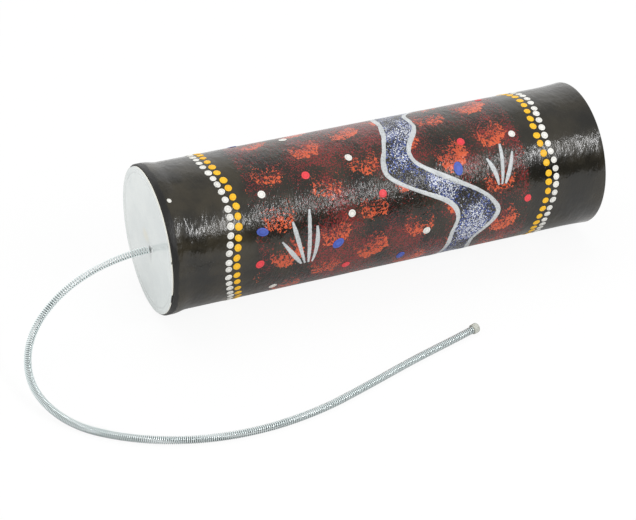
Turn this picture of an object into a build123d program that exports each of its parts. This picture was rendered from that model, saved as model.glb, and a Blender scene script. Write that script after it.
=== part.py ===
from build123d import *
import math
import os

# Thunder tube lying on its side, in millimetres. X runs along the tube from the film to the open end,
# Z is up, and the table is at Z 0.

# Card tube
core_length = 200.0
core_bore = 57.0
core_wall = 2.5

# Painted paper skin, and the raised rim that it covers at the film's end
wrap_thickness = 0.4
hoop_height = 0.9
hoop_width = 3.0
flare_length = 6.0
rim_rounding = 0.6

# Film, and the adhesive that holds it to the end of the tube
film_thickness = 0.4
film_margin = 0.7
glue_thickness = 0.2
glue_overlap = 0.4

# Where the spring leaves the film, from the tube's own axis
exit_side = -3.8
exit_drop = 2.2

# Bead behind the film, seated in the film's hole like a ball
bead_diameter = 3.6
film_hole = 3.0
bead_clearance = 0.05
bead_back = 1.3

# Spring
spring_diameter = 3.2
wire_diameter = 0.7
curls = 100
draw_in_turns = 1.1
end_clearance = 0.1
table_clearance = 0.05

# Cap on the spring's free end
cap_diameter = 4.2
cap_length = 3.0
cap_rounding = 1.0
cap_edge = 0.3

# The spring's route from the hole: along X, along Y, and down. Where no drop is given it lies on the table.
spring_route = [
    (-13.0, 0.0, 0.0),
    (-38.0, -2.5, 7.5),
    (-58.5, -17.0, 17.0),
    (-66.5, -42.0, 24.0),
    (-58.5, -67.0, None),
    (-40.0, -85.5, None),
    (-16.0, -97.0, None),
    (10.0, -100.5, None),
    (36.0, -97.0, None),
    (60.0, -88.5, None),
    (84.5, -79.0, None),
    (106.0, -72.0, None),
    (116.0, -69.0, None),
]
bend_share = 0.45

# Sizes that follow from those
core_radius = core_bore / 2 + core_wall
skin_radius = core_radius + wrap_thickness
rim_radius = skin_radius + hoop_height
overall_length = core_length + glue_thickness + film_thickness
open_end = overall_length / 2
core_end = open_end - core_length
film_back = core_end - glue_thickness
film_face = film_back - film_thickness
film_radius = rim_radius - film_margin
hoop_back = core_end + wrap_thickness + hoop_width
bead_radius = bead_diameter / 2
bead_seat = math.sqrt(bead_radius**2 - (film_hole / 2) ** 2) + bead_clearance
tube_center = Vector(0, 0, rim_radius)
bead_center = Vector(film_back + bead_seat, exit_side, rim_radius - exit_drop)
coil_radius = (spring_diameter - wire_diameter) / 2


def on_tube_axis(shape):
    return Pos(*tube_center) * shape


def ring(inner_radius, outer_radius, start, end):
    """A ring about the tube's axis, from one place along it to another."""
    band = Pos((start + end) / 2, (inner_radius + outer_radius) / 2) * Rectangle(
        end - start, outer_radius - inner_radius
    )
    return on_tube_axis(revolve(band, Axis.X))


def make_tube_core():
    return ring(core_bore / 2, core_radius, core_end, open_end)


def make_rim_hoop():
    return ring(core_radius, core_radius + hoop_height, hoop_back - hoop_width, hoop_back)


def make_outer_wrap():
    """The skin's section: thin along the tube, an S-shaped flare, and a lip over the hoop."""
    foot = Vector(hoop_back + flare_length, skin_radius)
    crest = Vector(hoop_back, rim_radius)
    middle = (foot + crest) / 2
    lower = TangentArc(foot, middle, tangent=(-1, 0))
    upper = TangentArc(middle, crest, tangent=lower % 1)
    corner = Vector(core_end, rim_radius)
    lip = Polyline(
        crest,
        corner,
        (core_end, core_radius),
        (hoop_back - hoop_width, core_radius),
        (hoop_back - hoop_width, core_radius + hoop_height),
        (hoop_back, core_radius + hoop_height),
        (hoop_back, core_radius),
        (open_end, core_radius),
        (open_end, skin_radius),
        foot,
    )
    section = make_face([lower, upper, lip])
    section = fillet(section.vertices().sort_by_distance(corner)[0], rim_rounding)
    return on_tube_axis(revolve(section, Axis.X))


def make_glue_ring():
    return ring(core_bore / 2 + glue_overlap, film_radius - glue_overlap, film_back, core_end)


def make_membrane():
    film = Pos(film_back, 0, rim_radius) * Rot(0, -90, 0) * Cylinder(
        film_radius, film_thickness, align=(Align.CENTER, Align.CENTER, Align.MIN)
    )
    hole = Pos(film_back, bead_center.Y, bead_center.Z) * Rot(0, 90, 0) * Cylinder(
        film_hole / 2, 3 * film_thickness
    )
    return film - hole


def make_anchor_bead():
    ball = Sphere(bead_radius)
    behind = Pos(bead_back, 0, 0) * Box(
        bead_diameter, bead_diameter, bead_diameter, align=(Align.MIN, Align.CENTER, Align.CENTER)
    )
    return Pos(*bead_center) * (ball - behind)


def route_points():
    """The line that the spring follows, from the bead to the cap."""
    hole = Vector(film_face, bead_center.Y, bead_center.Z)
    on_table = spring_diameter / 2 + table_clearance
    points = [bead_center - Vector(bead_radius + end_clearance, 0, 0)]
    for along, side, drop in spring_route:
        height = on_table if drop is None else hole.Z - drop
        points.append(Vector(hole.X + along, hole.Y + side, height))
    points[-1].Z = cap_diameter / 2 + table_clearance
    return points


def bend_radii(points):
    """Each corner's arc, as large as the two runs beside it allow."""
    radii = []
    for before, corner, after in zip(points, points[1:], points[2:]):
        turn = math.radians((corner - before).get_angle(after - corner))
        shorter = min((corner - before).length, (after - corner).length)
        radii.append(bend_share * shorter / math.tan(turn / 2))
    return radii


def wire_point(route, length, run):
    """A point of the wire, a given run along the route: a helix that draws in to the route at both ends."""
    place = min(max(run / length, 0), 1)
    center, forward = route.position_at(place), route.tangent_at(place)
    side = forward.cross(Vector(0, 0, 1)).normalized()
    up = side.cross(forward)
    straight = wire_diameter
    turns = curls * (run - straight) / (length - 2 * straight)
    from_end = min(turns, curls - turns)
    opened = min(max(from_end / draw_in_turns, 0), 1)
    radius = coil_radius * opened**2 * (3 - 2 * opened)
    angle = math.tau * turns
    return center + radius * (math.cos(angle) * side + math.sin(angle) * up)


def biarc(start, start_way, end, end_way):
    """Two arcs from one point and direction to another, smooth where they meet."""
    chord = end - start
    ways = start_way + end_way
    bend = 2 * (1 - start_way.dot(end_way))
    across = chord.dot(ways)
    reach = (math.sqrt(across**2 + bend * chord.dot(chord)) - across) / bend
    first, second = start + reach * start_way, end - reach * end_way
    meeting = (first + second) / 2
    way = (second - first).normalized()
    return [Edge.make_tangent_arc(start, start_way, meeting), Edge.make_tangent_arc(meeting, way, end)]


def make_spring(route):
    """One unbroken wire, wound round the route in half turns, with a short straight end at each end."""
    length = route.length
    straight = wire_diameter
    step = (length - 2 * straight) / (2 * curls)
    nudge = step / 1000

    def point(run):
        return wire_point(route, length, run)

    def way(run):
        return (point(run + nudge) - point(run - nudge)).normalized()

    starts = [straight + step * n for n in range(2 * curls + 1)]
    edges = [Edge.make_line(point(0), point(straight))]
    for near, far in zip(starts, starts[1:]):
        near_way = route.tangent_at(0) if near == starts[0] else way(near)
        far_way = route.tangent_at(1) if far == starts[-1] else way(far)
        edges += biarc(point(near), near_way, point(far), far_way)
    edges.append(Edge.make_line(point(length - straight), point(length)))
    path = Wire(edges)
    spring = sweep(Plane(path @ 0, z_dir=path % 0) * Circle(wire_diameter / 2), path)
    report_spring(spring, path, edges)
    return spring


def report_spring(spring, path, edges):
    section = math.pi * wire_diameter**2 / 4
    print("wire length", round(path.length, 1), "volume", round(spring.volume, 2),
          "section times length", round(section * path.length, 2))
    tightest = min(edge.radius for edge in edges if edge.geom_type == GeomType.CIRCLE)
    print("tightest bend of the wire", round(tightest, 3))
    samples_per_edge = 6
    points = [edge @ (n / samples_per_edge) for edge in edges for n in range(samples_per_edge)]
    half_turn, window = 2 * samples_per_edge, 10 * samples_per_edge
    gap = min(
        (points[i] - points[j]).length
        for i in range(len(points))
        for j in range(i + half_turn, min(i + window, len(points)))
    )
    print("least gap of the spring to itself", round(gap - wire_diameter, 2))


def make_tip_cap(route):
    cap = Cylinder(cap_diameter / 2, cap_length, align=(Align.CENTER, Align.CENTER, Align.MIN))
    cap = fillet(cap.edges().sort_by(Axis.Z)[-1], cap_rounding)
    cap = fillet(cap.edges().group_by(Axis.Z)[0], cap_edge)
    return Plane(route @ 1, z_dir=route % 1) * cap


points = route_points()
radii = bend_radii(points)
print("route radii", [round(radius) for radius in radii])
route = FilletPolyline(*points, radius=radii)
print("route length", round(route.length, 1), "bead center", bead_center)

parts = {
    "tube_core": make_tube_core(),
    "rim_hoop": make_rim_hoop(),
    "outer_wrap": make_outer_wrap(),
    "glue_ring": make_glue_ring(),
    "membrane": make_membrane(),
    "anchor_bead": make_anchor_bead(),
    "spring": make_spring(route),
    "tip_cap": make_tip_cap(route),
}

os.makedirs("parts", exist_ok=True)
for name, part in parts.items():
    export_step(part, f"parts/{name}.step")
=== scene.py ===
import math
import random

import bmesh
import bpy
from mathutils import Matrix, Vector, noise


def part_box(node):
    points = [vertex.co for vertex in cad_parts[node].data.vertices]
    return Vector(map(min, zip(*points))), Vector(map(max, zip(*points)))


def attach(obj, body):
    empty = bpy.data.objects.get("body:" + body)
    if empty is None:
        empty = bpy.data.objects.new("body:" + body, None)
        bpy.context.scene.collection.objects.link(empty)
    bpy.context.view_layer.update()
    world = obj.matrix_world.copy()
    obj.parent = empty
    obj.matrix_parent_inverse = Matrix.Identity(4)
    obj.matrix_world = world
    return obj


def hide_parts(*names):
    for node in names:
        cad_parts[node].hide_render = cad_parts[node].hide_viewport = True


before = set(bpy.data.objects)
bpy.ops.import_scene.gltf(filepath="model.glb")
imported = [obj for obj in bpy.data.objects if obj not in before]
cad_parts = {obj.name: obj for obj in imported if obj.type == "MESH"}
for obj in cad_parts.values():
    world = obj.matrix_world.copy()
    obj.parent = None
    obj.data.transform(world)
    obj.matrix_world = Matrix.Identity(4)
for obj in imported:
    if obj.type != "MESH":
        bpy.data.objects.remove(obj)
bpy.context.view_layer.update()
print("frame loaded:", ", ".join(sorted(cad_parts)))

mm = 0.001

# Where the tube's pieces are, from the frame
coreLow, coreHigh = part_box("tube_core")
wrapLow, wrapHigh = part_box("outer_wrap")
filmLow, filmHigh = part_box("membrane")
beadLow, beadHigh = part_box("anchor_bead")
axisHeight = (wrapLow.z + wrapHigh.z) / 2
rimRadius = (wrapHigh.z - wrapLow.z) / 2
coreRadius = (coreHigh.z - coreLow.z) / 2
filmRadius = (filmHigh.z - filmLow.z) / 2
rimEnd, openEnd = wrapLow.x, wrapHigh.x
filmFace, filmBack = filmLow.x, filmHigh.x
holeSide = (beadLow.y + beadHigh.y) / 2
holeHeight = (beadLow.z + beadHigh.z) / 2


# Meshes

def linear(red, green, blue):  # 0 to 255 as the eye reads it, to Blender's own values
    def one(value):
        value /= 255
        return value / 12.92 if value <= 0.04045 else ((value + 0.055) / 1.055) ** 2.4

    return (one(red), one(green), one(blue), 1.0)


def smoothStep(value):
    value = min(max(value, 0), 1)
    return value * value * (3 - 2 * value)


def fading(value, begins, full):  # 0 until the value falls to begins, 1 from full down
    return smoothStep((begins - value) / (begins - full))


def turnsOf(count):  # evenly spaced, once round
    return [math.tau * step / count for step in range(count)]


def onTube(along, turn, radius):  # turn is 0 at the top and grows towards -Y
    return Vector((along, -radius * math.sin(turn), axisHeight + radius * math.cos(turn)))


def meshPiece(name, points, faces, sharp=50):
    mesh = bpy.data.meshes.new(name)
    mesh.from_pydata(points, [], faces)
    shell = bmesh.new()
    shell.from_mesh(mesh)
    bmesh.ops.recalc_face_normals(shell, faces=shell.faces)
    shell.to_mesh(mesh)
    shell.free()
    mesh.shade_smooth()
    mesh.set_sharp_from_angle(angle=math.radians(sharp))
    piece = bpy.data.objects.new(name, mesh)
    bpy.context.scene.collection.objects.link(piece)
    return piece


def skinned(loops, closedAlong=False, capped=False):  # faces between loops of equally many points
    count = len(loops[0])
    points = [point for loop in loops for point in loop]
    faces = []
    last = len(loops) if closedAlong else len(loops) - 1
    for n in range(last):
        here, there = n * count, (n + 1) % len(loops) * count
        for k in range(count):
            after = (k + 1) % count
            faces.append((here + k, here + after, there + after, there + k))
    if capped:
        faces.append(tuple(range(count)))
        faces.append(tuple(range((len(loops) - 1) * count, len(loops) * count)))
    return points, faces


def turned(name, profile, segments, swell=None):  # a closed profile of (along, radius), turned once round
    loops = []
    for along, radius in profile:
        loop = []
        for turn in turnsOf(segments):
            extra = swell(along, radius, turn) if swell else 0
            loop.append(onTube(along, turn, radius + extra))
        loops.append(loop)
    return meshPiece(name, *skinned(loops, closedAlong=True))


def rounded(along, radius, size, start, end, steps=5):  # an arc of a profile, angles in degrees
    arc = []
    for step in range(steps + 1):
        angle = math.radians(start + (end - start) * step / steps)
        arc.append((along + size * math.cos(angle), radius + size * math.sin(angle)))
    return arc


# Shader and geometry trees. A term is a node's output, and sums written with terms add the nodes they need.

class Term:
    def __init__(self, tree, socket):
        self.tree = tree
        self.socket = socket

    def __add__(self, other):
        return calc("ADD", self, other)

    def __radd__(self, other):
        return calc("ADD", other, self)

    def __sub__(self, other):
        return calc("SUBTRACT", self, other)

    def __rsub__(self, other):
        return calc("SUBTRACT", other, self)

    def __mul__(self, other):
        return calc("MULTIPLY", self, other)

    def __rmul__(self, other):
        return calc("MULTIPLY", other, self)

    def __truediv__(self, other):
        return calc("DIVIDE", self, other)

    def __rtruediv__(self, other):
        return calc("DIVIDE", other, self)

    def __abs__(self):
        return calc("ABSOLUTE", self)


def feed(socket, value):
    if isinstance(value, Term):
        value.tree.links.new(value.socket, socket)
    else:
        socket.default_value = value


def addNode(tree, kind, inputs=None, **settings):  # inputs by label or number
    node = tree.nodes.new(kind)
    for name, value in settings.items():
        setattr(node, name, value)
    for label, value in (inputs or {}).items():
        feed(node.inputs[label], value)
    return node


def made(tree, kind, inputs=None, output=0, **settings):  # one output of a new node
    return Term(tree, addNode(tree, kind, inputs, **settings).outputs[output])


def outputsOf(tree, node):
    return {socket.name: Term(tree, socket) for socket in node.outputs}


def treeOf(values):
    return next(value.tree for value in values if isinstance(value, Term))


def calc(operation, *values, clamp=False):
    numbers = dict(enumerate(values))
    return made(treeOf(values), "ShaderNodeMath", numbers, operation=operation, use_clamp=clamp)


def cosine(angle):  # of a number or of a term
    return calc("COSINE", angle) if isinstance(angle, Term) else math.cos(angle)


def ramp(value, low, high, toLow=0.0, toHigh=1.0):  # a smooth step from low to high
    numbers = dict(enumerate((value, low, high, toLow, toHigh)))
    return made(value.tree, "ShaderNodeMapRange", numbers, interpolation_type="SMOOTHSTEP")


def blended(factor, first, second):
    return made(factor.tree, "ShaderNodeMix", {0: factor, 6: first, 7: second}, 2, data_type="RGBA")


def layered(colour, *coats):  # each coat is a mask and a colour
    for mask, coat in coats:
        colour = blended(mask, colour, coat)
    return colour


def split(vector):
    return list(outputsOf(vector.tree, addNode(vector.tree, "ShaderNodeSeparateXYZ", {0: vector})).values())


def combined(x=0.0, y=0.0, z=0.0):
    return made(treeOf((x, y, z)), "ShaderNodeCombineXYZ", {0: x, 1: y, 2: z})


def stretched(place, scale):
    return made(place.tree, "ShaderNodeMapping", {"Vector": place, "Scale": scale})


def clouds(place, scale, detail=2.0, roughness=0.5, distortion=0.0):
    inputs = {"Vector": place, "Scale": scale, "Detail": detail, "Roughness": roughness,
              "Distortion": distortion}
    return made(place.tree, "ShaderNodeTexNoise", inputs)


def attribute(tree, name):
    return made(tree, "ShaderNodeAttribute", output="Fac", attribute_name=name)


# A new group. Its kind is Shader or Geometry, and an input is given by its default or by its type's name.
def newTree(name, kind, inputs, *outputs):
    tree = bpy.data.node_groups.new(name, kind + "NodeTree")
    for label, default in inputs.items():
        types = {str: default, int: "Int", float: "Float"}
        socketType = "NodeSocket" + types[type(default)]
        socket = tree.interface.new_socket(label, in_out="INPUT", socket_type=socketType)
        if not isinstance(default, str):
            socket.default_value = default
    outputType = "NodeSocketGeometry" if kind == "Geometry" else "NodeSocketFloat"
    for label in outputs:
        tree.interface.new_socket(label, in_out="OUTPUT", socket_type=outputType)
    given = outputsOf(tree, addNode(tree, "NodeGroupInput"))
    return tree, given, addNode(tree, "NodeGroupOutput").inputs


def useTree(group, inputs):
    tree = treeOf(inputs.values())
    kind = group.bl_idname.replace("Tree", "Group")
    return outputsOf(tree, addNode(tree, kind, inputs, node_tree=group))


def newMaterial(name, grainSize, mottleSize):  # with its place on the piece, fine grain and slow mottling
    material = bpy.data.materials.new(name)
    material.use_nodes = True
    place = made(material.node_tree, "ShaderNodeTexCoord", output="Object")
    grain = useTree(fineGrain, {"Position": place, "Grain Size": grainSize, "Mottle Size": mottleSize})
    return material, place, grain["Grain"], grain["Mottle"]


def finish(material, colour, roughness, height, depth, metallic=0.0, specular=0.5):
    shader = material.node_tree.nodes["Principled BSDF"].inputs
    feed(shader["Base Color"], colour)
    feed(shader["Roughness"], roughness)
    shader["Metallic"].default_value = metallic
    shader["Specular IOR Level"].default_value = specular
    bump = {"Strength": 1.0, "Distance": depth, "Height": height}
    feed(shader["Normal"], made(height.tree, "ShaderNodeBump", bump))
    return material


# Fine grain and slow mottling, which every finish has in its own size
texture = {
    "fine": (3.0, 0.6),  # a cloud's detail and roughness
    "slow": (4.0, 0.55),
    "span": (0.3, 0.7),
}


def makeGrain():
    inputs = {"Position": "Vector", "Grain Size": 0.5 * mm, "Mottle Size": 12 * mm}
    tree, given, out = newTree("fineGrain", "Shader", inputs, "Grain", "Mottle")
    fine = clouds(given["Position"], 1.0 / given["Grain Size"], *texture["fine"])
    slow = clouds(given["Position"], 1.0 / given["Mottle Size"], *texture["slow"])
    feed(out["Grain"], ramp(fine, *texture["span"]))
    feed(out["Mottle"], ramp(slow, *texture["span"]))
    return tree


# Paint from a dry sponge or a spatter: specks that close up as the density grows
speckle = {
    "clouds": (2.0, 0.55, 0.9),  # detail, roughness and distortion
    "noneAt": 0.80,  # the cloud level that specks stand above
    "closing": 0.55,
    "edge": 0.025,
    "leastDensity": 0.01,
}


def makeSpeckle():
    inputs = {"Position": "Vector", "Speck Size": 0.6 * mm, "Density": 0.5}
    tree, given, out = newTree("paintSpeckle", "Shader", inputs, "Mask")
    specks = clouds(given["Position"], 1.0 / given["Speck Size"], *speckle["clouds"])
    level = speckle["noneAt"] - given["Density"] * speckle["closing"]
    mask = ramp(specks, level - speckle["edge"], level + speckle["edge"])
    feed(out["Mask"], mask * calc("GREATER_THAN", given["Density"], speckle["leastDensity"]))
    return tree


# A place on the tube as a distance along it, a turn about it and a distance from its axis
def makeTubePlace():
    inputs = {"Position": "Vector", "Axis Height": axisHeight}
    tree, given, out = newTree("tubePlace", "Shader", inputs, "Along", "Turn", "Radius")
    along, across, height = split(given["Position"])
    side = across * -1.0
    above = height - given["Axis Height"]
    feed(out["Along"], along)
    feed(out["Turn"], calc("ARCTAN2", side, above))
    feed(out["Radius"], calc("SQRT", side * side + above * above))
    return tree


# Rows of crescent dabs about the tube: full at the curved front edge, worn thin behind it
dab = {
    "wanderAlong": 0.22,  # shares of a dab's own room
    "wanderAround": 0.30,
    "leanBack": 0.2,
    "lean": 0.9,
    "front": 0.42,  # this and the next three are shares of a dab's length and width
    "edge": (0.0, 0.10),
    "worn": (1.15, 0.12),
    "sides": (0.58, 0.30),
    "paintLeast": 0.48,
    "paintSpread": 0.26,
    "paleBehind": 0.7,
    "paleShare": 0.65,
}


def makeSpongeDabs():
    inputs = {
        "Along": 0.0, "Turn": 0.0, "Raggedness": 0.0, "Row Pitch": 20 * mm, "Dabs Around": 10.0,
        "Row Shift": 0.37, "Tube Radius": 31 * mm, "Dab Length": 17 * mm, "Dab Width": 17 * mm, "Seed": 3.0,
    }
    tree, given, out = newTree("spongeDabs", "Shader", inputs, "Density", "Tone")
    count = given["Dabs Around"]
    rows = given["Along"] / given["Row Pitch"]
    row = calc("FLOOR", rows)
    columns = (given["Turn"] / math.tau + 0.5) * count + row * given["Row Shift"]
    column = calc("FLOOR", columns)
    cell = combined(row, calc("FLOORED_MODULO", column, count), given["Seed"])
    hashed = made(tree, "ShaderNodeTexWhiteNoise", {"Vector": cell}, "Color", noise_dimensions="3D")
    chances = outputsOf(tree, addNode(tree, "ShaderNodeSeparateColor", {0: hashed}))

    def centred(value, low, pitch, chance, room):  # metres from the dab's own centre
        return (value - low - 0.5 + (chance - 0.5) * room) * pitch

    pitchAround = given["Tube Radius"] * math.tau / count
    along = centred(rows, row, given["Row Pitch"], chances["Red"], dab["wanderAlong"])
    across = centred(columns, column, pitchAround, chances["Green"], dab["wanderAround"])
    lean = (chances["Blue"] - dab["leanBack"]) * dab["lean"]
    leanCosine, leanSine = cosine(lean), calc("SINE", lean)
    ahead = (across * leanCosine + along * leanSine) / given["Dab Length"]
    beside = (along * leanCosine - across * leanSine) / given["Dab Width"]
    behind = dab["front"] - beside * beside - ahead + given["Raggedness"]
    density = ramp(behind, *dab["edge"]) * ramp(behind, *dab["worn"]) * ramp(abs(beside), *dab["sides"])
    feed(out["Density"], density * (dab["paintLeast"] + chances["Blue"] * dab["paintSpread"]))
    thin = ramp(behind, 0.0, dab["paleBehind"])
    feed(out["Tone"], thin * dab["paleShare"] + chances["Green"] * (1 - dab["paleShare"]))
    return tree


fineGrain = makeGrain()
paintSpeckle = makeSpeckle()
tubePlace = makeTubePlace()
spongeDabs = makeSpongeDabs()
print("shader groups built")


def speckled(place, speckSize, density):
    return useTree(paintSpeckle, {"Position": place, "Speck Size": speckSize, "Density": density})["Mask"]


def varied(value, low, high):  # a share from 0 to 1 as a number from low to high
    return ramp(value, 0.0, 1.0, low, high)


# A plain worn finish: two tones that follow the grain and the mottling
plain = {
    "grainSize": 0.4 * mm,
    "mottleSize": 8 * mm,
    "roughnessSpread": 0.12,
    "relief": 0.03 * mm,
}


def plainFinish(name, light, dark, roughness, grainShare=0.5, mottleSize=plain["mottleSize"]):
    material, _, grain, mottle = newMaterial(name, plain["grainSize"], mottleSize)
    tone = grain * grainShare + mottle * (1 - grainShare)
    gloss = varied(grain, roughness, roughness + plain["roughnessSpread"])
    return finish(material, blended(tone, light, dark), gloss, grain, plain["relief"])


# Painted paper skin

skin = {
    "thickness": 0.4 * mm,
    "hoopHeight": 0.9 * mm,
    "hoopWidth": 3.0 * mm,
    "flare": 6.0 * mm,
    "rimRounding": 0.6 * mm,
    "crestStep": 0.6 * mm,
    "edgeRounding": 0.18 * mm,
    "ringStep": 2.5 * mm,
    "flareSteps": 12,
    "segments": 216,
    "unevenness": 0.07 * mm,
    "swells": [(45, 1.6, 0.7), (260, 7, 0.3)],  # how often along the tube and about it, and the share
    "sunk": 0.25,
    "sweptDepth": 0.1 * mm,
    "endFlare": 0.7 * mm,
    "endFlareRun": 14 * mm,
    "endOval": 0.6,
}
skinRadius = coreRadius + skin["thickness"]


def skinProfile():
    lip, hoop = skin["thickness"], skin["hoopHeight"]
    hoopFront = rimEnd + lip
    hoopBack = hoopFront + skin["hoopWidth"]
    foot = hoopBack + skin["flare"]
    size, edge = skin["rimRounding"], skin["edgeRounding"]
    profile = [(openEnd, coreRadius), (hoopBack, coreRadius), (hoopBack, coreRadius + hoop),
               (hoopFront, coreRadius + hoop), (hoopFront, coreRadius), (rimEnd, coreRadius)]
    profile += rounded(rimEnd + size, rimRadius - size, size, 180, 90)
    profile += [(hoopBack - skin["crestStep"], rimRadius)]
    for step in range(skin["flareSteps"] + 1):
        along = hoopBack + skin["flare"] * step / skin["flareSteps"]
        profile.append((along, skinRadiusAt(along)))
    rings = round((openEnd - edge - foot) / skin["ringStep"])
    for step in range(1, rings):
        profile.append((foot + (openEnd - edge - foot) * step / rings, skinRadius))
    profile += rounded(openEnd - edge, skinRadius - edge, edge, 90, 0, 3)
    return profile


def skinRadiusAt(along):  # the rim's crest, the flare and the straight tube
    hoopBack = rimEnd + skin["thickness"] + skin["hoopWidth"]
    return rimRadius - (rimRadius - skinRadius) * smoothStep((along - hoopBack) / skin["flare"])


def paperSwell(along, radius, turn):  # the hand-laid paper isn't quite round, and stands off at the open end
    if radius < skinRadius - skin["sweptDepth"]:
        return 0
    flare = skin["endFlare"] * max(0, 1 - (openEnd - along) / skin["endFlareRun"]) ** 2
    flare *= 1 - skin["endOval"] * math.sin(turn) ** 2
    swell = -skin["sunk"]
    for lengthwise, around, share in skin["swells"]:
        here = Vector((along * lengthwise, around * math.sin(turn), around * math.cos(turn)))
        swell += share * noise.noise(here)
    return flare + skin["unevenness"] * swell


# The painted field: a winding band, sponge dabs, and what lies loose between them
river = {
    "middle": 22 * mm,
    "bends": [(16 * mm, 2, 110), (5 * mm, 5, 10)],  # size, cycles round the tube, turn of a peak in degrees
    "halfWidth": 8 * mm,
    "swells": [(1.8 * mm, 3, 75), (1.0 * mm, 8, 10)],
    "edge": 0.4 * mm,
    "shades": 95.0,
    "shadeSpan": (0.35, 0.65),
    "blueSpeck": 0.9 * mm,
    "blueLoad": (0.38, 0.22),  # the least paint, and how much more the shade adds
    "whiteSpeck": 0.6 * mm,
    "whiteLoad": (0.24, 0.24),
    "whiteShift": (1.13, 0.91, 1.07),
    "blue": linear(72, 94, 166),
    "deepBlue": linear(38, 48, 92),
    "white": linear(226, 230, 236),
}
field = {
    "halfLength": 66 * mm,
    "fade": 5 * mm,
    "rags": (420.0, 3.0),  # how often, and a cloud's detail
    "raggedness": 0.45,
    "dabSpeck": 1.0 * mm,
    "drifts": (55.0, 3.0),
    "driftSpan": (0.36, 0.64),
    "mistLoad": (0.22, 0.54),
    "mistSpeck": 0.55 * mm,
    "mistStrength": 0.85,
    "crimson": linear(138, 38, 40),
    "orange": linear(218, 96, 54),
    "rust": linear(158, 52, 38),
}
ground = {
    "black": linear(25, 24, 20),
    "umber": linear(54, 49, 37),
    "farUmber": 0.6,
    # the rim band's colour is darker than the ground: partly its own black edge paint, partly painted shade
    # for the rim's darker reflection
    "rim": linear(16, 14, 12),
    "rimFull": 2.0 * mm,
    "rimEnds": 3.1 * mm,
    "rimWaver": 3 * mm,
    "rimWavers": (130.0, 3.0),
}
varnish = {
    "grain": (0.5 * mm, 16 * mm),  # sizes of the fine grain and the slow mottling
    "crinkles": (900.0, 420.0, 420.0),  # how often along X, Y and Z
    "crinkleClouds": (1.0, 0.5, 0.7),  # detail, roughness and distortion
    "crinkleDepth": 0.65,
    "fieldCrinkle": 1.1,
    "dents": (240.0, 130.0, 130.0),
    "dentClouds": (1.0, 0.5, 0.5),
    "dentDepth": 1.5,
    "paintDepth": 0.12,
    "relief": 0.17 * mm,
    "roughness": (0.17, 0.22),
    "fieldRoughness": 0.05,
    "rimRoughness": 0.25,
    "specular": 0.48,
}


def waver(turn, base, waves):  # a line that wavers as it goes round the tube, for a number or a term
    return base + sum(size * cosine(cycles * (turn - math.radians(peak))) for size, cycles, peak in waves)


def makeSkinFinish():
    material, place, _, mottle = newMaterial("paintedSkin", *varnish["grain"])
    spot = useTree(tubePlace, {"Position": place})
    along, turn = spot["Along"], spot["Turn"]
    inField = ramp(abs(along), field["halfLength"], field["halfLength"] - field["fade"])

    ragged = (clouds(place, *field["rags"]) - 0.5) * field["raggedness"]
    inputs = {"Along": along, "Turn": turn, "Raggedness": ragged, "Tube Radius": skinRadius}
    sponge = useTree(spongeDabs, inputs)
    dabs = speckled(place, field["dabSpeck"], sponge["Density"] * inField)
    drift = ramp(clouds(place, *field["drifts"]), *field["driftSpan"], *field["mistLoad"])
    mist = speckled(place, field["mistSpeck"], drift * inField)

    middle = waver(turn, river["middle"], river["bends"])
    halfWidth = waver(turn, river["halfWidth"], river["swells"])
    inside = ramp(halfWidth - abs(along - middle), -river["edge"], river["edge"])
    shade = ramp(clouds(place, river["shades"]), *river["shadeSpan"])

    def riverPaint(where, paint):
        least, more = river[paint + "Load"]
        return speckled(where, river[paint + "Speck"], inside * (least + shade * more))

    blue = riverPaint(place, "blue")
    white = riverPaint(stretched(place, river["whiteShift"]), "white")

    uneven = (clouds(place, *ground["rimWavers"]) - 0.5) * ground["rimWaver"]
    onRim = ramp(along + uneven, rimEnd + ground["rimEnds"], rimEnd + ground["rimFull"])
    brown = mottle * ramp(along, -openEnd, openEnd, 1.0, ground["farUmber"])
    # the rim band takes the darker rim colour: black edge paint and painted shade
    bare = blended(onRim, blended(brown, ground["black"], ground["umber"]), ground["rim"])
    colour = layered(
        bare,
        (mist * field["mistStrength"], field["crimson"]),
        (dabs, blended(sponge["Tone"], field["orange"], field["rust"])),
        (inside, bare),
        (blue, blended(mottle, river["deepBlue"], river["blue"])),
        (white, river["white"]),
    )

    crinkle = clouds(stretched(place, varnish["crinkles"]), 1.0, *varnish["crinkleClouds"])
    dents = clouds(stretched(place, varnish["dents"]), 1.0, *varnish["dentClouds"])
    painted = calc("MAXIMUM", dabs, calc("MAXIMUM", blue, white))
    height = crinkle * (inField * varnish["fieldCrinkle"] + varnish["crinkleDepth"])
    height = height + dents * varnish["dentDepth"] + painted * varnish["paintDepth"]
    gloss = varied(mottle, *varnish["roughness"]) + inField * varnish["fieldRoughness"]
    gloss = gloss + onRim * varnish["rimRoughness"]
    return finish(material, colour, gloss, height, varnish["relief"], specular=varnish["specular"])


paintedSkin = turned("paintedSkin", skinProfile(), skin["segments"], paperSwell)
paintedSkin.data.materials.append(makeSkinFinish())
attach(paintedSkin, "tube")
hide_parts("outer_wrap")
print("skin built:", len(paintedSkin.data.polygons), "faces")


# Card tube, seen through its open end

card = {
    "wall": 2.5 * mm,
    "edgeRounding": 0.2 * mm,
    "ringStep": 8 * mm,
    "segments": 160,
    "grain": (0.35 * mm, 22 * mm),
    "fibres": (180.0, 1100.0, 1100.0),  # how often along X, Y and Z
    "fibreClouds": (4.0, 0.65),
    "fibreShare": 0.6,
    "seamPitch": 95 * mm,
    "seamEdge": (0.0075, 0.003),
    "seamStrength": 0.75,
    "seamDepth": 2.0,
    "ply": 0.42 * mm,
    "plyEdge": (0.12, 0.02),
    "plyStrength": 0.6,
    "cutBegins": 0.14 * mm,
    "cutFull": 0.05 * mm,
    "relief": 0.05 * mm,
    "roughness": (0.72, 0.9),
    "pale": linear(176, 158, 130),
    "dark": linear(138, 118, 92),
    "seam": linear(98, 80, 60),
}


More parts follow.
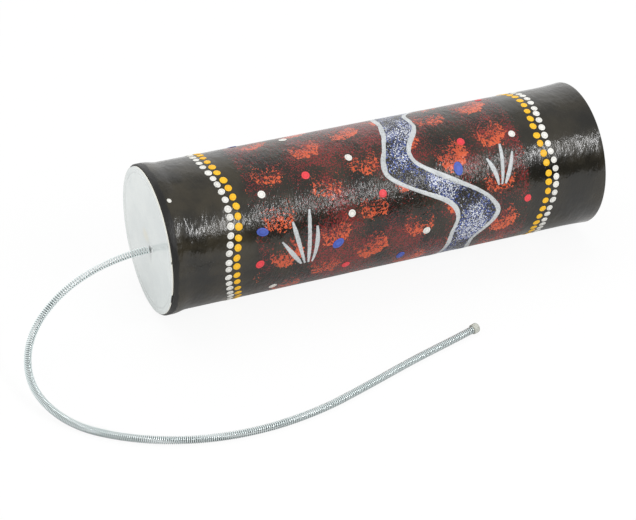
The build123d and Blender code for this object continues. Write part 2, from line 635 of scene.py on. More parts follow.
def cardProfile():
    bore, edge = coreRadius - card["wall"], card["edgeRounding"]
    start, end = coreLow.x, coreHigh.x
    rings = round((end - start) / card["ringStep"])
    runs = [start + edge + (end - start - 2 * edge) * step / rings for step in range(rings + 1)]
    profile = [(along, coreRadius) for along in runs]
    profile += rounded(end - edge, coreRadius - edge, edge, 90, 0, 3)
    profile += rounded(end - edge, bore + edge, edge, 0, -90, 3)
    profile += [(along, bore) for along in reversed(runs[1:-1])]
    profile += rounded(start + edge, bore + edge, edge, -90, -180, 3)
    profile += rounded(start + edge, coreRadius - edge, edge, 180, 90, 3)[:-1]
    return profile[1:]


def makeCardFinish():
    material, place, grain, mottle = newMaterial("spiralCard", *card["grain"])
    spot = useTree(tubePlace, {"Position": place})
    along, turn, radius = spot["Along"], spot["Turn"], spot["Radius"]
    fibres = clouds(stretched(place, card["fibres"]), 1.0, *card["fibreClouds"])
    tone = fibres * card["fibreShare"] + mottle * (1 - card["fibreShare"])
    winding = along / card["seamPitch"] - turn / math.tau
    seam = ramp(abs(calc("FRACT", winding) - 0.5), *card["seamEdge"])
    ply = ramp(abs(calc("FRACT", radius / card["ply"]) - 0.5), *card["plyEdge"])
    atEnd = ramp(along, openEnd - card["cutBegins"], openEnd - card["cutFull"])
    colour = layered(
        blended(tone, card["dark"], card["pale"]),
        (seam * card["seamStrength"], card["seam"]),
        (ply * atEnd * card["plyStrength"], card["seam"]),
    )
    height = fibres + grain - seam * card["seamDepth"]
    return finish(material, colour, varied(grain, *card["roughness"]), height, card["relief"])


cardTube = turned("cardTube", cardProfile(), card["segments"])
cardTube.data.materials.append(makeCardFinish())
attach(cardTube, "tube")
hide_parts("tube_core")
print("card tube built:", len(cardTube.data.polygons), "faces")


# Drum film, with its hole off the middle

film = {
    "holeRadius": 1.5 * mm,
    "evenRadius": 26.0 * mm,
    "grooveRadius": 28.9 * mm,
    "grooveWidth": 0.45 * mm,
    "grooveDepth": 0.09 * mm,
    "glued": 0.07 * mm,
    "gluedRun": 1.2 * mm,
    "edgeRounding": 0.1 * mm,
    "outerRings": 22,
    "innerRings": 14,
    "ringCrowding": 1.6,
    "segments": 160,
    "grain": (0.8 * mm, 14 * mm),
    "smearSpot": (5 * mm, 4 * mm, 6 * mm, 4 * mm, 0.2),  # off the hole to the side and up, half sizes, core
    "smearStrength": 0.35,
    # painted shade: a grey streak on the film below the hole
    "shadeStreakSpot": (0.0, -2.5 * mm, 2.4 * mm, 5 * mm, 0.1),
    "shadeStreakStrength": 0.28,
    "pressed": (0.5 * mm, 0.1 * mm),
    "pressedStrength": 0.16,
    "cutBegins": 0.22 * mm,
    "cutFull": 0.05 * mm,
    "creeps": 90.0,
    "creepSpan": (0.56, 0.76),
    "creep": 0.55 * mm,
    "creepEdge": 0.08 * mm,
    "grainDepth": 0.1,
    "relief": 0.06 * mm,
    "roughness": (0.08, 0.13),
    "pale": linear(223, 228, 226),
    "cool": linear(214, 220, 219),
    "ivory": linear(227, 226, 217),
    # grey for the painted shade below the hole, and for the line where the film is pressed over the bore's
    # edge
    "shadeAndEdgeGrey": linear(150, 152, 150),
    "overpaint": linear(16, 15, 14),
    "smear": linear(226, 214, 176),
}


def filmFront(radius):  # the film dips where the card's bore begins, and lies on the glue outside it
    past = radius - film["grooveRadius"]
    groove = math.exp(-(past / film["grooveWidth"]) ** 2)
    return filmFace + film["grooveDepth"] * groove - film["glued"] * smoothStep(past / film["gluedRun"])


def filmRing(along, radius, share):  # share 0 is about the hole, 1 about the tube's axis
    loop = []
    for turn in turnsOf(film["segments"]):
        side = holeSide * (1 - share) - radius * math.sin(turn)
        height = holeHeight * (1 - share) + axisHeight * share + radius * math.cos(turn)
        loop.append(Vector((along, side, height)))
    return loop


def filmLoops():
    loops = []
    for step in range(film["innerRings"]):
        share = (step / film["innerRings"]) ** film["ringCrowding"]
        radius = film["holeRadius"] + (film["evenRadius"] - film["holeRadius"]) * share
        loops.append(filmRing(filmFace, radius, share))
    edge = film["edgeRounding"]
    flat = filmRadius - edge
    for step in range(film["outerRings"] + 1):
        radius = film["evenRadius"] + (flat - film["evenRadius"]) * step / film["outerRings"]
        loops.append(filmRing(filmFront(radius), radius, 1))
    for along, radius in rounded(filmFront(flat) + edge, flat, edge, 180, 90, 3)[1:]:
        loops.append(filmRing(along, radius, 1))
    loops.append(filmRing(filmBack, filmRadius, 1))
    loops.append(filmRing(filmBack, film["evenRadius"], 1))
    loops.append(filmRing(filmBack, film["holeRadius"], 0))
    return loops


def makeFilmFinish():
    material, place, grain, mottle = newMaterial("drumFilm", *film["grain"])
    radius = useTree(tubePlace, {"Position": place})["Radius"]
    y, z = split(place)[1:]
    side = y - holeSide
    above = z - holeHeight

    def within(offSide, offUp, halfWidth, halfHeight, core):  # 1 in an oval spot's core, 0 past its edge
        offset = combined((side - offSide) / halfWidth, (above - offUp) / halfHeight)
        reach = made(place.tree, "ShaderNodeVectorMath", {0: offset}, "Value", operation="LENGTH")
        return ramp(reach, 1.0, core)

    pressed = ramp(abs(radius - film["grooveRadius"]), *film["pressed"])
    cut = ramp(radius, filmRadius - film["cutBegins"], filmRadius - film["cutFull"])
    creep = radius + ramp(clouds(place, film["creeps"]), *film["creepSpan"], 0.0, film["creep"])
    colour = layered(
        blended(mottle, film["pale"], film["cool"]),
        (within(*film["smearSpot"]) * mottle * film["smearStrength"], film["smear"]),
        # painted shade below the hole
        (within(*film["shadeStreakSpot"]) * film["shadeStreakStrength"], film["shadeAndEdgeGrey"]),
        (pressed * film["pressedStrength"], film["shadeAndEdgeGrey"]),
        (cut, film["ivory"]),
        (ramp(creep, filmRadius, filmRadius + film["creepEdge"]), film["overpaint"]),
    )
    height = grain * film["grainDepth"] + mottle
    return finish(material, colour, varied(mottle, *film["roughness"]), height, film["relief"])


drumFilm = meshPiece("drumFilm", *skinned(filmLoops(), closedAlong=True))
drumFilm.data.materials.append(makeFilmFinish())
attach(drumFilm, "tube")
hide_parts("membrane")
print("film built:", len(drumFilm.data.polygons), "faces")


# Spring: the route's points, and one wire wound about the smooth line through them

springRoute = [  # from the hole, in mm: along X, along Y, and up from the table
    (-0.455, 0.0, 30.1),
    (-13.0, 0.0, 30.1),
    (-38.0, -2.5, 22.6),
    (-58.5, -17.0, 13.1),
    (-66.5, -42.0, 6.1),
    (-58.5, -67.0, 1.65),
    (-40.0, -85.5, 1.65),
    (-16.0, -97.0, 1.65),
    (10.0, -100.5, 1.65),
    (36.0, -97.0, 1.65),
    (60.0, -88.5, 1.65),
    (84.5, -79.0, 1.65),
    (106.0, -72.0, 1.65),
    (116.0, -69.0, 2.15),
]
coil = {
    "diameter": 3.2 * mm,
    "wire": 0.61 * mm,
    "length": 306.2 * mm,
    "pitchAlong": [  # in mm, by mm along
        (0, 1.08), (70, 1.08), (95, 0.80), (180, 0.79), (200, 0.86), (265, 0.86), (310, 0.95),
    ],
    "pitchUnevenness": 0.05,
    "unevenPitches": 90,
    "unevenSeed": 4.2,
    "straight": 0.1 * mm,
    "drawInTurns": 0.45,
    "intoBead": 0.3 * mm,
    "intoCap": 0.5 * mm,
    "stepsPerTurn": 16,
    "sides": 8,
    "lineResolution": 40,
    "zinc": linear(244, 252, 252),
    "dull": linear(226, 237, 237),
    # painted shade: the colour the wire darkens to between its turns and on its underside
    "gapShade": linear(34, 42, 42),
    "grain": (0.3 * mm, 9 * mm),
    "mottleShare": 0.6,
    "relief": 0.004 * mm,
    "roughness": (0.33, 0.39),
    "paintedGapShade": [  # painted shade between the turns, by mm along
        (0, 0.65), (40, 0.50), (75, 0.50), (125, 0.88), (170, 0.72), (215, 0.12), (285, 0.02), (310, 0.50),
    ],
    "paintedGapFade": (0.7, -0.4),  # where the painted gap shade begins and is full: outward reach on the wire, as a share of its radius
    "paintedUnderShade": [(0, 0.0), (80, 0.0), (115, 0.28), (160, 0.36), (310, 0.38)],  # painted shade on the underside, by mm along, where it lies
    "paintedUnderFade": (0.40, -0.15),  # where the painted underside shade begins and is full: height on a turn, as a share of its radius
}


def routeLine():
    curve = bpy.data.curves.new("springRoute", "CURVE")
    curve.dimensions = "3D"
    spline = curve.splines.new("NURBS")
    spline.points.add(len(springRoute) - 1)
    for point, (along, side, height) in zip(spline.points, springRoute):
        point.co = (filmFace + along * mm, holeSide + side * mm, height * mm, 1.0)
    spline.order_u = 3
    spline.use_endpoint_u = True
    spline.resolution_u = coil["lineResolution"]
    holder = bpy.data.objects.new("springRoute", curve)
    mesh = bpy.data.meshes.new_from_object(holder)
    line = [vertex.co.copy() for vertex in mesh.vertices]
    bpy.data.objects.remove(holder)
    bpy.data.meshes.remove(mesh)
    bpy.data.curves.remove(curve)
    return line


def between(table, value):  # a row of (place, number) pairs, read at any place
    for (start, low), (end, high) in zip(table, table[1:]):
        if value <= end:
            return low + (high - low) * smoothStep((value - start) / (end - start))
    return table[-1][1]


def acrossFrom(way):  # two directions square to a way, the first level and the second upwards
    side = way.cross(Vector((0, 0, 1))).normalized()
    return side, side.cross(way)


class Line:
    def __init__(self, points):
        self.points = points
        self.runs = [0.0]
        for before, after in zip(points, points[1:]):
            self.runs.append(self.runs[-1] + (after - before).length)
        self.length = self.runs[-1]
        ends = [points[0]] + points + [points[-1]]
        self.ways = [(after - before).normalized() for before, after in zip(ends, ends[2:])]
        self.here = 0

    def at(self, run):  # the place and direction a given run along; the runs asked for only grow
        if run <= 0:
            return self.points[0] + self.ways[0] * run, self.ways[0]
        if run >= self.length:
            return self.points[-1] + self.ways[-1] * (run - self.length), self.ways[-1]
        while self.runs[self.here + 1] < run:
            self.here += 1
        n = self.here
        share = (run - self.runs[n]) / (self.runs[n + 1] - self.runs[n])
        way = self.ways[n].lerp(self.ways[n + 1], share).normalized()
        return self.points[n].lerp(self.points[n + 1], share), way


def windWire(line):
    wireRadius = coil["wire"] / 2
    coilRadius = coil["diameter"] / 2 - wireRadius
    run, turns = -coil["intoBead"], 0.0
    loops, runs, heights = [], [], []
    while run < line.length + coil["intoCap"]:
        center, way = line.at(run)
        side, up = acrossFrom(way)
        angle = math.tau * turns
        outward = math.cos(angle) * side + math.sin(angle) * up
        around = math.cos(angle) * up - math.sin(angle) * side
        pitch = between(coil["pitchAlong"], run / mm) * mm
        chance = noise.noise(Vector((run * coil["unevenPitches"], coil["unevenSeed"], 0)))
        pitch *= 1 + coil["pitchUnevenness"] * chance
        radius = coilRadius * smoothStep(turns / coil["drawInTurns"])
        across = (way * pitch + around * math.tau * radius).normalized().cross(outward)
        loop = []
        for turn in turnsOf(coil["sides"]):
            reach = outward * (radius + wireRadius * math.cos(turn))
            loop.append(center + reach + across * wireRadius * math.sin(turn))
        loops.append(loop)
        runs.append(run)
        heights.append(outward.z)
        if run < coil["straight"]:
            run += coil["intoBead"] / 2
        else:
            turns += 1 / coil["stepsPerTurn"]
            run += pitch / coil["stepsPerTurn"]
    print("spring wound:", round(turns), "turns on a line of", round(line.length / mm, 1), "mm")
    return loops, runs, heights


def markPaintedShade(wire, runs, heights):  # painted shade: darker where the wire faces the coil's middle, between the turns, and darker on the underside where it lies
    paintedShade = wire.data.attributes.new("paintedShade", "FLOAT", "POINT")
    shades = []
    for run, height in zip(runs, heights):
        dark = between(coil["paintedGapShade"], run / mm)
        under = between(coil["paintedUnderShade"], run / mm) * fading(height, *coil["paintedUnderFade"])
        for turn in turnsOf(coil["sides"]):
            gapShade = dark * fading(math.cos(turn), *coil["paintedGapFade"])
            shades.append(1 - (1 - gapShade) * (1 - under))
    paintedShade.data.foreach_set("value", shades)


def makeZincFinish():
    material, place, grain, mottle = newMaterial("zincWire", *coil["grain"])
    tone = mottle * coil["mottleShare"] + grain * (1 - coil["mottleShare"])
    plated = blended(tone, coil["zinc"], coil["dull"])
    # painted shade: the plating darkens towards the gap shade colour as the wire's painted shade attribute
    # says
    colour = blended(attribute(place.tree, "paintedShade"), plated, coil["gapShade"])
    return finish(material, colour, varied(tone, *coil["roughness"]), grain, coil["relief"], metallic=1.0)


centreLine = Line(routeLine())
wireLoops, wireRuns, wireHeights = windWire(centreLine)
springWire = meshPiece("springWire", *skinned(wireLoops, capped=True))
markPaintedShade(springWire, wireRuns, wireHeights)
springWire.data.materials.append(makeZincFinish())


# Cap on the spring's free end

cap = {
    "diameter": 4.2 * mm,
    "length": 3.0 * mm,
    "rounding": 0.8 * mm,
    "edge": 0.3 * mm,
    "pole": 0.02 * mm,
    "segments": 40,
    "roughness": 0.5,
    "grain": (0.0, 2 * mm),  # the fine grain's share, and the size of the mottling
    "pale": linear(190, 192, 183),
    "dark": linear(158, 160, 152),
}


def capMesh(line):
    radius, length, rounding, edge = cap["diameter"] / 2, cap["length"], cap["rounding"], cap["edge"]
    profile = [(0.0, cap["pole"])]
    profile += rounded(edge, radius - edge, edge, 180, 90, 4)
    profile += rounded(length - rounding, radius - rounding, rounding, 90, 0, 8)
    profile += [(length, cap["pole"])]
    center, way = line.points[-1], line.ways[-1]
    side, up = acrossFrom(way)
    loops = []
    for along, ring in profile:
        loop = []
        for turn in turnsOf(cap["segments"]):
            loop.append(center + way * along + side * ring * math.cos(turn) + up * ring * math.sin(turn))
        loops.append(loop)
    return skinned(loops, capped=True)


springCap = meshPiece("springCap", *capMesh(centreLine))
capFinish = plainFinish("dullCap", cap["pale"], cap["dark"], cap["roughness"], *cap["grain"])
springCap.data.materials.append(capFinish)
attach(springCap, "spring")
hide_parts("tip_cap")

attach(springWire, "spring")
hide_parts("spring")
print("spring and cap built:", len(springWire.data.polygons), "faces")


# Hidden pieces that keep their CAD shape: node, finish, light and dark tone, and roughness

hiddenPieces = [
    ("anchor_bead", "dullBead", linear(196, 200, 199), linear(160, 164, 163), 0.4),
    ("rim_hoop", "hoopCard", linear(176, 158, 130), linear(132, 112, 88), 0.75),
    ("glue_ring", "driedGlue", linear(226, 214, 180), linear(198, 182, 140), 0.3),
]


def dressHidden(node, name, light, dark, roughness):
    material = plainFinish(name, light, dark, roughness)
    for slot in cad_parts[node].material_slots:
        slot.material = material


for hiddenPiece in hiddenPieces:
    dressHidden(*hiddenPiece)
print("hidden pieces dressed:", len(hiddenPieces))


# Raised paint dots: one tree sets a domed dot on each point, another lays a wavering row of points

dot = {
    "segments": 12,
    "rings": 6,
    "dome": 0.22 * mm,
    "dimple": 0.08 * mm,
    "dimpleClosing": 2.6,
    "grain": (0.45 * mm, 2.5 * mm),
    "dimpleShadeAt": 0.56,  # where the painted shade of the dimple lies, as a share of the radius
    "dimpleShadeEdge": (0.2, 0.05),
    "dimpleShadeStrength": 0.5,
    "toneShade": 0.25,
    "mottleShade": 0.3,
    "roughness": (0.38, 0.50),
    "relief": 0.03 * mm,
    "twistDraw": 11,  # this and the rest are added to the seed
    "lengthDraw": 23,
    "widthDraw": 37,
    "toneDraw": 53,
    "spacingDraw": 5,
    "sideDraw": 7,
}
dotInputs = {"Axis Height": axisHeight, "Dot Radius": 1.5 * mm, "Dome": dot["dome"], "Dimple": dot["dimple"],
             "Size Spread": 0.1, "Seed": 1, "Paint": "Material"}


def luck(seed, low, high):  # a number drawn for each point
    node = addNode(seed.tree, "FunctionNodeRandomValue", data_type="FLOAT")
    sockets = {socket.name: socket for socket in node.inputs if socket.enabled}
    for label, value in (("Min", low), ("Max", high), ("Seed", seed)):
        feed(sockets[label], value)
    return Term(seed.tree, node.outputs[1])


def domedDotTree():
    inputs = {"Points": "Geometry", "Stretch": 1.0, **dotInputs}
    tree, given, out = newTree("domedDots", "Geometry", inputs, "Geometry")
    seed, spread, radius = given["Seed"], given["Size Spread"], given["Dot Radius"]
    x, y, z = split(made(tree, "GeometryNodeInputPosition"))  # on the ball first, then on the row's points

    def stored(geometry, name, value, domain):
        named = {"Geometry": geometry, "Name": name, "Value": value}
        return made(tree, "GeometryNodeStoreNamedAttribute", named, data_type="FLOAT", domain=domain)

    ballInputs = {"Segments": dot["segments"], "Rings": dot["rings"], "Radius": 1.0}
    ball = made(tree, "GeometryNodeMeshUVSphere", ballInputs)
    square = x * x + y * y
    ringed = stored(ball, "ring", calc("SQRT", square), "POINT")
    hollow = calc("SUBTRACT", 1.0, square * dot["dimpleClosing"], clamp=True)
    shaped = combined(x * radius, y * radius, z * given["Dome"] - hollow * given["Dimple"])
    dome = made(tree, "GeometryNodeSetPosition", {"Geometry": ringed, "Position": shaped})

    outward = combined(0.0, y, z - given["Axis Height"])
    stand = made(tree, "FunctionNodeAlignRotationToVector", {"Vector": outward}, axis="Z")
    spin = luck(seed + dot["twistDraw"], 0.0, math.tau)
    twist = made(tree, "FunctionNodeEulerToRotation", {0: combined(z=spin)})
    turns = {"Rotation": stand, "Rotate By": twist}
    rotation = made(tree, "FunctionNodeRotateRotation", turns, rotation_space="LOCAL")
    less, more = 1.0 - spread, 1.0 + spread
    length = luck(seed + dot["lengthDraw"], less, more) * given["Stretch"]
    size = combined(length, luck(seed + dot["widthDraw"], less, more), 1.0)
    copyInputs = {"Points": given["Points"], "Instance": dome, "Rotation": rotation, "Scale": size}
    copies = made(tree, "GeometryNodeInstanceOnPoints", copyInputs)
    toned = stored(copies, "tone", luck(seed + dot["toneDraw"], 0.0, 1.0), "INSTANCE")
    joined = made(tree, "GeometryNodeRealizeInstances", {"Geometry": toned})
    smooth = made(tree, "GeometryNodeSetShadeSmooth", {"Geometry": joined})
    paint = {"Geometry": smooth, "Material": given["Paint"]}
    feed(out["Geometry"], made(tree, "GeometryNodeSetMaterial", paint))
    return tree


waveCount = 3


def waveLabels(n):
    return [f"Wave {n + 1} {part}" for part in ("Size", "Cycles", "Peak")]


def dotRowTree(dots):
    inputs = {"Geometry": "Geometry", "Count": 50, "Along": 0.0, "Tube Radius": skinRadius,
              "Spacing Spread": 0.1, "Side Spread": 0.15 * mm}
    for n in range(waveCount):
        inputs.update(zip(waveLabels(n), (0.0, 1.0, 0.0)))
    tree, given, out = newTree("dotRow", "Geometry", {**inputs, **dotInputs}, "Geometry")
    seed, radius = given["Seed"], given["Tube Radius"]

    def eitherWay(spread, shift):
        return luck(seed + shift, spread * -1.0, spread)

    index = made(tree, "GeometryNodeInputIndex")
    turn = (index + eitherWay(given["Spacing Spread"], dot["spacingDraw"])) / given["Count"] * math.tau
    along = given["Along"] + eitherWay(given["Side Spread"], dot["sideDraw"])
    for n in range(waveCount):
        size, cycles, peak = [given[label] for label in waveLabels(n)]
        along = along + cosine((turn - peak) * cycles) * size
    side = calc("SINE", turn) * radius * -1.0
    position = combined(along, side, cosine(turn) * radius + given["Axis Height"])
    points = made(tree, "GeometryNodePoints", {"Count": given["Count"], "Position": position})
    row = useTree(dots, {"Points": points, **{label: given[label] for label in dotInputs}})
    feed(out["Geometry"], row["Geometry"])
    return tree


def settle(name, points, tree, settings):  # a tree's result as a plain mesh
    mesh = bpy.data.meshes.new(name)
    mesh.from_pydata(points, [], [])
    piece = bpy.data.objects.new(name, mesh)
    bpy.context.scene.collection.objects.link(piece)
    modifier = piece.modifiers.new(tree.name, "NODES")
    modifier.node_group = tree
    sockets = {item.name: item.identifier for item in tree.interface.items_tree if item.in_out == "INPUT"}
    for label, value in settings.items():
        modifier[sockets[label]] = value
    depsgraph = bpy.context.evaluated_depsgraph_get()
    result = bpy.data.meshes.new_from_object(piece.evaluated_get(depsgraph), depsgraph=depsgraph)
    piece.modifiers.remove(modifier)
    piece.data = result
    bpy.data.meshes.remove(mesh)
    result.name = name
    return piece


def makeDotPaint(name, light, dark):
    material, place, grain, mottle = newMaterial(name, *dot["grain"])
    # painted shade: a grey ring on each dot, deepening the shading of its dimple
    fromDimpleShade = abs(attribute(place.tree, "ring") - dot["dimpleShadeAt"])
    dimpleShade = ramp(fromDimpleShade, *dot["dimpleShadeEdge"]) * dot["dimpleShadeStrength"]
    worn = attribute(place.tree, "tone") * dot["toneShade"] + mottle * dot["mottleShade"]
    colour = blended(calc("ADD", dimpleShade, worn, clamp=True), light, dark)
    return finish(material, colour, varied(grain, *dot["roughness"]), grain, dot["relief"])


paints = {
    "white": makeDotPaint("whitePaint", linear(245, 244, 238), linear(194, 193, 186)),
    "yellow": makeDotPaint("yellowPaint", linear(248, 200, 28), linear(236, 166, 14)),
    "red": makeDotPaint("redPaint", linear(238, 72, 80), linear(206, 44, 56)),
    "blue": makeDotPaint("bluePaint", linear(72, 98, 190), linear(48, 66, 150)),
}

# Each band's two rows waver together: size in mm, cycles, peak in degrees
filmBand = [(0.80, 1, 147), (1.29, 3, 38), (0.82, 4, -39)]
openBand = [(1.61, 1, 14), (0.54, 4, -15), (0.59, 5, 3)]
rowKinds = {"white": {"count": 53, "radius": 1.52}, "yellow": {"count": 46, "radius": 1.6}}  # radius in mm
rowSpread = {"Spacing Spread": 0.08, "Size Spread": 0.09}
dotRows = [  # name, band, place along in mm, paint and seed
    ("filmEndWhiteDots", filmBand, -74.3, "white", 4),
    ("filmEndYellowDots", filmBand, -70.8, "yellow", 9),
    ("openEndYellowDots", openBand, 70.5, "yellow", 15),
    ("openEndWhiteDots", openBand, 74.2, "white", 22),
]
domedDots = domedDotTree()
dotRow = dotRowTree(domedDots)


def layDotRow(name, band, along, paint, seed):
    kind = rowKinds[paint]
    settings = {
        "Count": kind["count"], "Along": along * mm, "Tube Radius": skinRadius, "Axis Height": axisHeight,
        "Dot Radius": kind["radius"] * mm, "Seed": seed, "Paint": paints[paint], **rowSpread,
    }
    for n, (size, cycles, peak) in enumerate(band):
        settings.update(zip(waveLabels(n), (size * mm, float(cycles), math.radians(peak))))
    return settle(name, [], dotRow, settings)


# Loose spots between the bands: radius and places along in mm, turns in degrees
looseSpots = {
    "whiteSpots": {"paint": "white", "radius": 1.75, "stretch": 1.0, "places": [
        (-57, 42), (-20, 70), (-15, 26), (60, 34), (14, 98), (-54, 128), (-36, -14), (44, -60), (-14, -140),
        (56, -110)]},
    "redSpots": {"paint": "red", "radius": 1.85, "stretch": 1.05, "places": [
        (-36, 34), (-5, 60), (36, 32), (62, 88), (-22, 118), (-62, 96), (-16, -44), (58, -20), (-54, -130),
        (40, -165)]},
    "blueSpots": {"paint": "blue", "radius": 1.9, "stretch": 1.5, "places": [
        (-27, 92), (31, 53), (-60, 70), (4, 122), (-56, -30), (-10, -80), (52, -86), (60, -160)]},
    "rimFleck": {"paint": "white", "radius": 0.8, "stretch": 1.2, "places": [(-95.6, 33)]},
}
spotSpread = 0.12
firstSpotSeed = 40


def laySpots(name, spots):
    places = [(along * mm, math.radians(turn)) for along, turn in spots["places"]]
    points = [onTube(along, turn, skinRadiusAt(along)) for along, turn in places]
    return settle(name, points, domedDots, {
        "Axis Height": axisHeight, "Dot Radius": spots["radius"] * mm, "Stretch": spots["stretch"],
        "Size Spread": spotSpread, "Seed": firstSpotSeed + len(points), "Paint": paints[spots["paint"]],
    })


dotPieces = [layDotRow(*row) for row in dotRows]
dotPieces += [laySpots(name, spots) for name, spots in looseSpots.items()]
for piece in dotPieces:
    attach(piece, "tube")
print("dots laid:", sum(len(piece.data.polygons) for piece in dotPieces), "faces")


# Silver brushwork: both banks of the winding band, and fans of reeds beside it

brush = {
    "width": 2.1 * mm,
    "thickness": 0.10 * mm,
    "section": [(-1, -0.6), (-0.82, 0.45), (-0.4, 0.95), (0, 1.0), (0.4, 0.95), (0.82, 0.45), (1, -0.6)],
    "step": 0.8 * mm,
    "bankSteps": 1.15,
    "wander": 0.45 * mm,
    "wanders": 6,
    "pulse": 0.14,
    "pulseRate": 0.21,
    "tremble": 0.06,
    "tipWidth": 0.25,
    "tipFullness": 0.6,
    "tipCut": 0.03,
    "sharpAngle": 80,
    "seed": 12,
    "grain": (0.55 * mm, 5 * mm),
    "streaks": (1400.0, 3.0, 0.65),  # how often, and a cloud's detail and roughness
    "streakSpan": (0.5, 0.72),
    "streakShade": 0.8,
    "mottleShade": 0.3,
    "metallic": 0.25,
    "roughness": (0.42, 0.6),
    "relief": 0.05 * mm,
    "silver": linear(206, 210, 211),
    "thin": linear(150, 154, 156),
}
reeds = {
    "groups": [  # foot along in mm, foot turn and lean in degrees, then a length in mm for each reed
        (-41, 104, -8, (15, 21, 24, 17)),
        (50, 72, 12, (13, 18, 14)),
        (-50, -84, 6, (14, 20, 23, 16)),
        (-32, -152, -10, (16, 22, 18)),
    ],
    "footStep": 1.6,
    "fan": 17,
    "curl": 24,
}
hand = random.Random(brush["seed"])


def bankPath(side):
    path = []
    for turn in turnsOf(round(brush["bankSteps"] * math.tau * skinRadius / brush["step"])):
        halfWidth = waver(turn, river["halfWidth"], river["swells"])
        place = Vector((brush["wanders"] * math.cos(turn), brush["wanders"] * math.sin(turn), side))
        wander = noise.noise(place) * brush["wander"]
        path.append((waver(turn, river["middle"], river["bends"]) + side * halfWidth + wander, turn))
    return path


def reedPath(footAlong, footTurn, lean, length):  # lean is from straight up the tube's side, towards +X
    steps = round(length * mm / brush["step"])
    curl = math.radians(reeds["curl"]) * hand.uniform(-1, 1)
    along, turn = footAlong * mm, math.radians(footTurn)
    rise = math.copysign(brush["step"] / skinRadius, footTurn)
    path = [(along, turn)]
    for step in range(steps):
        angle = math.radians(lean) + curl * step / steps
        along += brush["step"] * math.sin(angle)
        turn -= rise * math.cos(angle)
        path.append((along, turn))
    return path


def brushStrokes():
    strokes = [(bankPath(-1), True), (bankPath(1), True)]
    for footAlong, footTurn, lean, lengths in reeds["groups"]:
        for n, length in enumerate(lengths):
            offset = n - (len(lengths) - 1) / 2
            foot = footAlong + reeds["footStep"] * offset
            strokes.append((reedPath(foot, footTurn, lean + reeds["fan"] * offset, length), False))
    return strokes


def tipTaper(share):  # a stroke's width along it, narrow at both tips
    share = min(max(share, brush["tipCut"]), 1 - brush["tipCut"])
    return brush["tipWidth"] + (1 - brush["tipWidth"]) * math.sin(math.pi * share) ** brush["tipFullness"]


def brushLoops(path, closed):  # the stroke's sections: domed above the skin, just under it below
    loops = []
    count = len(path)
    phase = hand.uniform(0, math.tau)
    for n, (along, turn) in enumerate(path):
        before = path[n - 1] if closed or n else path[n]
        after = path[(n + 1) % count] if closed or n + 1 < count else path[n]
        around = math.remainder(after[1] - before[1], math.tau) * skinRadius
        way = Vector((after[0] - before[0], around)).normalized()
        pulse = brush["pulse"] * math.sin(brush["pulseRate"] * n + phase)
        width = brush["width"] * (1 + pulse + hand.uniform(-brush["tremble"], brush["tremble"]))
        if not closed:
            width *= tipTaper(n / (count - 1))
        loop = []
        for share, height in brush["section"]:
            place = Vector((-way.y, way.x)) * share * width / 2
            radius = skinRadius + height * brush["thickness"]
            loop.append(onTube(along + place.x, turn + place.y / skinRadius, radius))
        loops.append(loop)
    return loops


def paintBrushwork():
    points, faces = [], []
    for path, closed in brushStrokes():
        more, sides = skinned(brushLoops(path, closed), closedAlong=closed, capped=not closed)
        faces += [tuple(index + len(points) for index in side) for side in sides]
        points += more
    return meshPiece("silverBrushwork", points, faces, brush["sharpAngle"])


def makeSilverFinish():
    material, place, grain, mottle = newMaterial("silverPaint", *brush["grain"])
    worn = ramp(clouds(place, *brush["streaks"]), *brush["streakSpan"], 0.0, brush["streakShade"])
    tone = calc("ADD", mottle * brush["mottleShade"], worn, clamp=True)
    colour = blended(tone, brush["silver"], brush["thin"])
    gloss = varied(grain, *brush["roughness"])
    return finish(material, colour, gloss, grain, brush["relief"], metallic=brush["metallic"])


silverBrushwork = paintBrushwork()
silverBrushwork.data.materials.append(makeSilverFinish())
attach(silverBrushwork, "tube")
print("brushwork laid:", len(silverBrushwork.data.polygons), "faces")


# Studio: white floor and surroundings, soft lamps, and the camera

studio = {
    "floorSize": 6.0,
    "floorShade": 0.90,
    "shadowSeen": 0.08,
    "shadowMirrored": 0.9,
    "worldLight": 0.60,
    "lamps": [  # name, place, aimed at, width, height, roll in degrees, watts, whether reflections show it
        ("overheadBox", (0.1, 0.5, 1.2), (0, 0, 0.03), 1.5, 1.0, 0, 8.0, False),
        ("frontStrip", (0.48, -0.98, 0.74), (0, 0, 0.03), 0.75, 0.042, 36, 5.0, True),
        ("frontFill", (0.48, -0.98, 0.9), (0, 0, 0.03), 0.75, 0.4, 0, 1.4, False),
        ("filmFill", (-1.1, -0.35, 0.55), (-0.1, 0, 0.03), 0.8, 0.8, 0, 2.45, False),
    ],
    "cards": [  # what reflections show round the table: name, place, aimed at, width, height, brightness
        ("brightBack", (0.5, 1.6, 0.85), (0.5, 0, 0.03), 4.0, 1.6, 1.35),
        ("greyCeiling", (0.5, -0.5, 1.7), (0.5, -0.5, 0), 4.0, 2.8, 0.72),
        ("darkFront", (0.4, -0.6, 0.16), (0.4, 0, 0.16), 2.4, 0.32, 0.05),
    ],
}


def facing(place, aim, roll=0.0):  # a place, with -Z towards what is aimed at
    turn = (Vector(aim) - Vector(place)).to_track_quat("-Z", "Y").to_matrix().to_4x4()
    return Matrix.Translation(place) @ turn @ Matrix.Rotation(math.radians(roll), 4, "Z")


def plate(name, width, height, shaderSettings, turn=Matrix.Identity(4)):  # a flat piece of the stage
    corners = [(-0.5, -0.5), (0.5, -0.5), (0.5, 0.5), (-0.5, 0.5)]
    piece = meshPiece(name, [turn @ Vector((x * width, y * height, 0)) for x, y in corners], [(0, 1, 2, 3)])
    material = bpy.data.materials.new(name)
    material.use_nodes = True
    shader = material.node_tree.nodes["Principled BSDF"]
    for label, value in shaderSettings.items():
        shader.inputs[label].default_value = value
    piece.data.materials.append(material)
    return piece, material


def rayKinds(tree):  # what the camera sees, and what a mirror or something clear shows
    rays = outputsOf(tree, addNode(tree, "ShaderNodeLightPath"))
    return rays["Is Camera Ray"], calc("MAXIMUM", rays["Is Glossy Ray"], rays["Is Transmission Ray"])


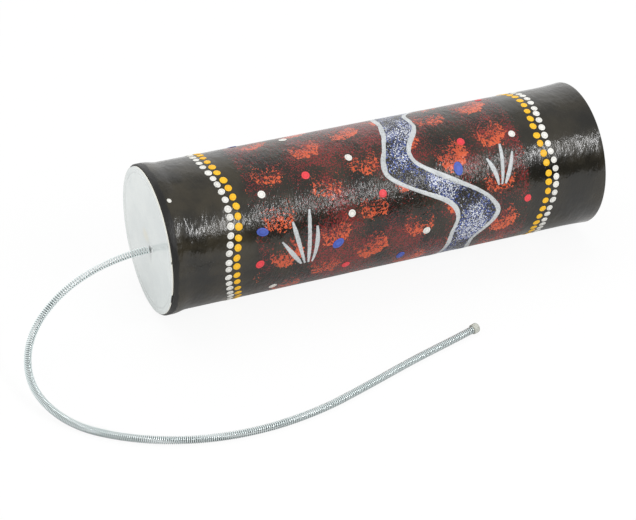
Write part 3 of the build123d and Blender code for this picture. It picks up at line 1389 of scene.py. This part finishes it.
def makeFloor():
    shade, size = studio["floorShade"], studio["floorSize"]
    dull = {"Base Color": (shade, shade, shade, 1), "Roughness": 1.0, "Specular IOR Level": 0.0}
    tree = plate("studioFloor", size, size, dull)[1].node_tree
    seen, mirrored = rayKinds(tree)
    seen = seen * (1 - studio["shadowSeen"])
    white = calc("MAXIMUM", seen, mirrored * (1 - studio["shadowMirrored"]))
    shaded = Term(tree, tree.nodes["Principled BSDF"].outputs[0])
    glow = made(tree, "ShaderNodeEmission")
    mixed = made(tree, "ShaderNodeMixShader", {0: white, 1: shaded, 2: glow})
    feed(tree.nodes["Material Output"].inputs["Surface"], mixed)


def makeSurroundings():
    world = bpy.data.worlds.new("whiteStudio")
    world.use_nodes = True
    bpy.context.scene.world = world
    background = world.node_tree.nodes["Background"].inputs
    background["Color"].default_value = (1, 1, 1, 1)
    light = studio["worldLight"]
    feed(background["Strength"], calc("MAXIMUM", *rayKinds(world.node_tree)) * (1 - light) + light)


def makeLamps():
    for name, place, aim, width, height, roll, watts, mirrored in studio["lamps"]:
        light = bpy.data.lights.new(name, "AREA")
        light.shape = "RECTANGLE"
        light.size, light.size_y = width, height
        light.energy = watts
        lamp = bpy.data.objects.new(name, light)
        lamp.matrix_world = facing(place, aim, roll)
        lamp.visible_glossy = mirrored
        bpy.context.scene.collection.objects.link(lamp)


def makeCards():
    for name, place, aim, width, height, brightness in studio["cards"]:
        glowing = {"Base Color": (0, 0, 0, 1), "Specular IOR Level": 0.0,
                   "Emission Color": (1, 1, 1, 1), "Emission Strength": brightness}
        piece, material = plate(name, width, height, glowing, facing(place, aim))
        material.cycles.emission_sampling = "NONE"
        piece.visible_camera = False
        piece.visible_diffuse = False
        piece.visible_shadow = False


shot = {
    "azimuth": -22.915,
    "elevation": 31.011,
    "distance": 866.88 * mm,
    "aimRight": -21.15 * mm,
    "aimUp": -28.26 * mm,
    "lens": 113.2,
    "sensor": 36.0,
}


def makeCamera():
    azimuth, elevation = math.radians(shot["azimuth"]), math.radians(shot["elevation"])
    level = math.cos(elevation)
    back = Vector((math.sin(azimuth) * level, -math.cos(azimuth) * level, math.sin(elevation)))
    right = Vector((math.cos(azimuth), math.sin(azimuth), 0))
    up = back.cross(right)
    aim = Vector((0, 0, axisHeight)) + right * shot["aimRight"] + up * shot["aimUp"]
    lens = bpy.data.cameras.new("photoCamera")
    lens.lens = shot["lens"]
    lens.sensor_fit = "HORIZONTAL"
    lens.sensor_width = shot["sensor"]
    camera = bpy.data.objects.new("photoCamera", lens)
    turn = Matrix((right, up, back)).transposed().to_4x4()
    camera.matrix_world = Matrix.Translation(aim + back * shot["distance"]) @ turn
    bpy.context.scene.collection.objects.link(camera)
    bpy.context.scene.camera = camera


makeFloor()
makeSurroundings()
makeLamps()
makeCards()
makeCamera()
bpy.context.scene.view_settings.view_transform = "Standard"
print("studio ready")
